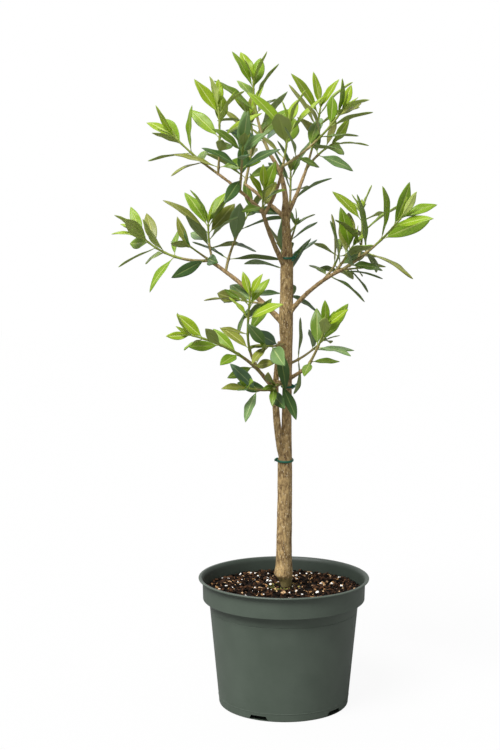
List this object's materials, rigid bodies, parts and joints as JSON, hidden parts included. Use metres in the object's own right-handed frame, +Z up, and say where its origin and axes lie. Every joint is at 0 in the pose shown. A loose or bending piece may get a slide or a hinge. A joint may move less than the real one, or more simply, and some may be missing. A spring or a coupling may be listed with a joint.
{
  "type": "potted olive tree",
  "caption": "Young standard olive tree with a tied slim trunk, arching boughs and open tufts of narrow leaves, standing in a round nursery pot of soil.",
  "frame": {"origin": "centre of the pot's flat underside", "axes": "+Z up the trunk; -Y faces the viewer and +X is the viewer's right"},
  "size_m": [0.3822, 0.2551, 0.7699],
  "materials": {
    "pot_plastic": "moulded, semi matte grey-green",
    "potting_soil": "loose dark mix with bark and perlite",
    "trunk_bark": "thin tan bark with lenticels",
    "bough_bark": "smooth young brown bark",
    "tie_plastic": "soft green strap",
    "foliage": "leathery green leaves"
  },
  "bodies": {
    "root": {"pot": "pot_plastic", "soil": "potting_soil", "trunk": "trunk_bark", "lower_tie": "tie_plastic", "middle_tie": "tie_plastic", "upper_tie": "tie_plastic", "second_stem": "trunk_bark", "low_left_bough": "bough_bark", "low_right_bough": "bough_bark", "mid_left_bough": "bough_bark", "high_left_bough": "bough_bark", "high_left_limb": "bough_bark", "high_cross_bough": "bough_bark", "crown_left_bough": "bough_bark", "leader": "bough_bark", "crown_right_bough": "bough_bark", "mid_right_bough": "bough_bark", "low_left_spray": "foliage", "low_upright_spray": "foliage", "low_hanging_spray": "foliage", "low_right_spray": "foliage", "low_back_spray": "foliage", "mid_left_spray": "foliage", "mid_left_low_spray": "foliage", "mid_left_upright_spray": "foliage", "mid_left_back_spray": "foliage", "high_left_spray": "foliage", "high_upright_spray": "foliage", "high_cross_spray": "foliage", "high_middle_spray": "foliage", "high_young_spray": "foliage", "crown_left_spray": "foliage", "leader_spray": "foliage", "crown_right_spray": "foliage", "mid_right_spray": "foliage", "mid_right_inner_spray": "foliage", "mid_right_upright_spray": "foliage", "mid_right_low_spray": "foliage", "trunk_spray": "foliage", "back_low_spray": "foliage", "back_high_spray": "foliage", "high_left_low_spray": "foliage", "crown_right_young_spray": "foliage", "mid_inner_spray": "foliage", "mid_right_front_spray": "foliage", "low_inner_spray": "foliage", "low_front_spray": "foliage"}
  },
  "joints": []
}
